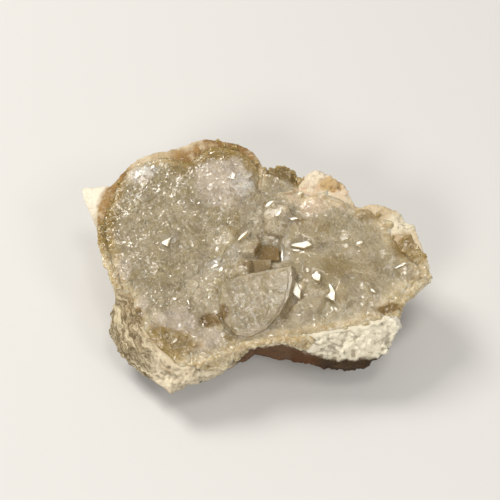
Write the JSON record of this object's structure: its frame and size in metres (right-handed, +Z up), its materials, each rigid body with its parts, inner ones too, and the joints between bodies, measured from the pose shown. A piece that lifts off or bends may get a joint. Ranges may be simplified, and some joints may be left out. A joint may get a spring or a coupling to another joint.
{
  "type": "calcite geode",
  "caption": "Broken geode piece: a pale limestone rind with a lining of clear honey-grey calcite crystals, resting on its rounded base.",
  "frame": {"origin": "under the middle of the footprint, at the height of the flat it rests on", "axes": "+X to the right of the crystal face, +Y away from its lower edge, +Z up"},
  "size_m": [0.111, 0.082, 0.036],
  "materials": {
    "rind": "rough pale limestone",
    "crystal_crust": "clear to milky calcite with flat faces"
  },
  "bodies": {
    "root": {"rind": "rind", "crystal_crust": "crystal_crust"}
  },
  "joints": []
}
